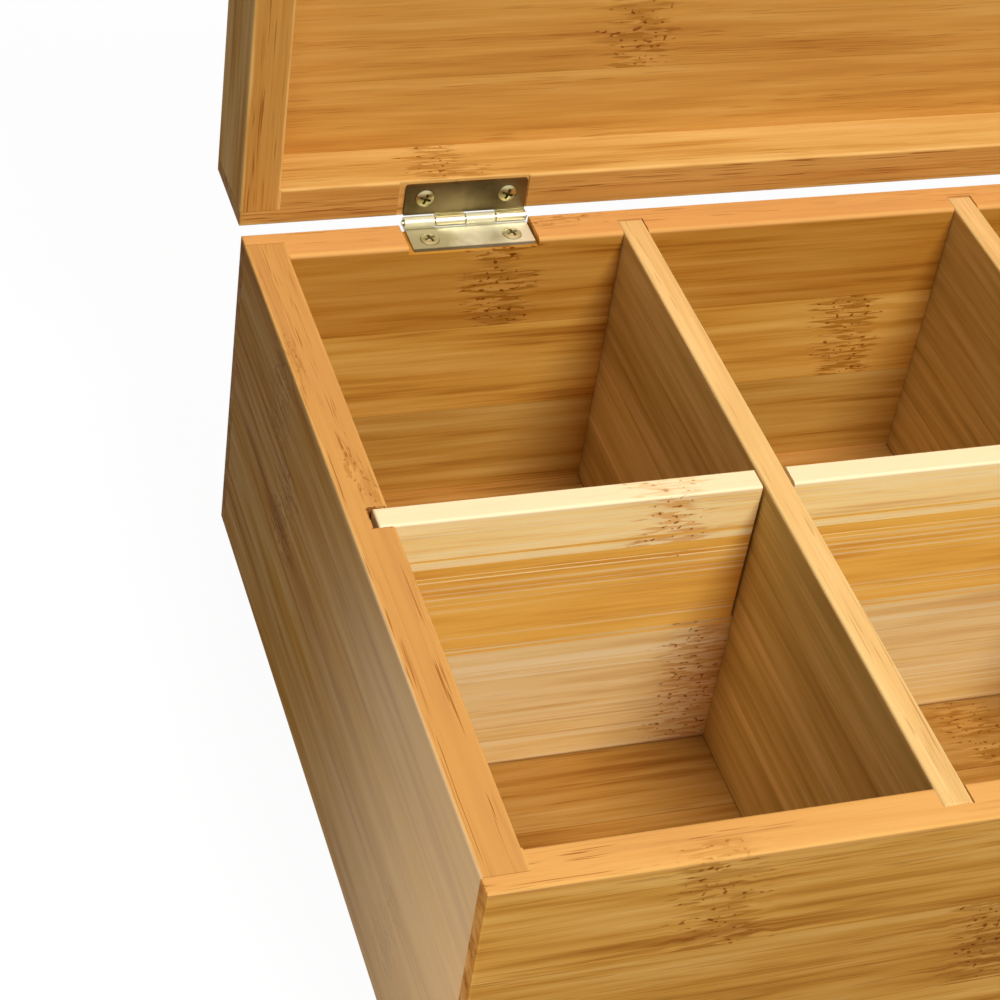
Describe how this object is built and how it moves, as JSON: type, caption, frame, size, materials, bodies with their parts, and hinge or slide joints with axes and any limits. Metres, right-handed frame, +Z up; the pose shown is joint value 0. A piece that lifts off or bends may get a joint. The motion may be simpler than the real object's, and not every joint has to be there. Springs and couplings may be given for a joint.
{
  "type": "tea bag organizer box",
  "caption": "Bamboo tea bag box with rabbeted walls, a lid on brass butt hinges standing open, and half-lapped dividers that part it into compartments.",
  "frame": {"origin": "centre of the underside of the case", "axes": "+X along the long side to the right, +Y to the hinged back, +Z up"},
  "size_m": [0.309, 0.1911, 0.2426],
  "materials": {
    "case_bamboo": "satin lacquered carbonised bamboo",
    "lid_bamboo": "satin lacquered carbonised bamboo",
    "pale_bamboo": "sanded natural bamboo",
    "hinge_brass": "antique brass plate, satin",
    "screw_brass": "antique brass plate, bright"
  },
  "bodies": {
    "case": {"back_wall": "case_bamboo", "front_wall": "case_bamboo", "left_wall": "case_bamboo", "right_wall": "case_bamboo", "floor_panel": "case_bamboo", "left_long_divider": "case_bamboo", "middle_long_divider": "case_bamboo", "right_long_divider": "case_bamboo", "cross_divider": "pale_bamboo", "left_hinge_box_leaf": "hinge_brass", "right_hinge_box_leaf": "hinge_brass", "left_hinge_pin": "hinge_brass", "right_hinge_pin": "hinge_brass", "left_hinge_box_screws": "screw_brass", "right_hinge_box_screws": "screw_brass"},
    "lid": {"lid_back_rail": "lid_bamboo", "lid_front_rail": "lid_bamboo", "lid_left_rail": "lid_bamboo", "lid_right_rail": "lid_bamboo", "lid_panel": "lid_bamboo", "left_hinge_lid_leaf": "hinge_brass", "right_hinge_lid_leaf": "hinge_brass", "left_hinge_lid_screws": "screw_brass", "right_hinge_lid_screws": "screw_brass"}
  },
  "joints": [
    {"name": "lid_hinge", "type": "hinge", "parent": "case", "child": "lid", "pos_m": [0, 0.0857, 0.0724], "axis": [-1, 0, 0], "range_deg": [-90, 0]}
  ]
}
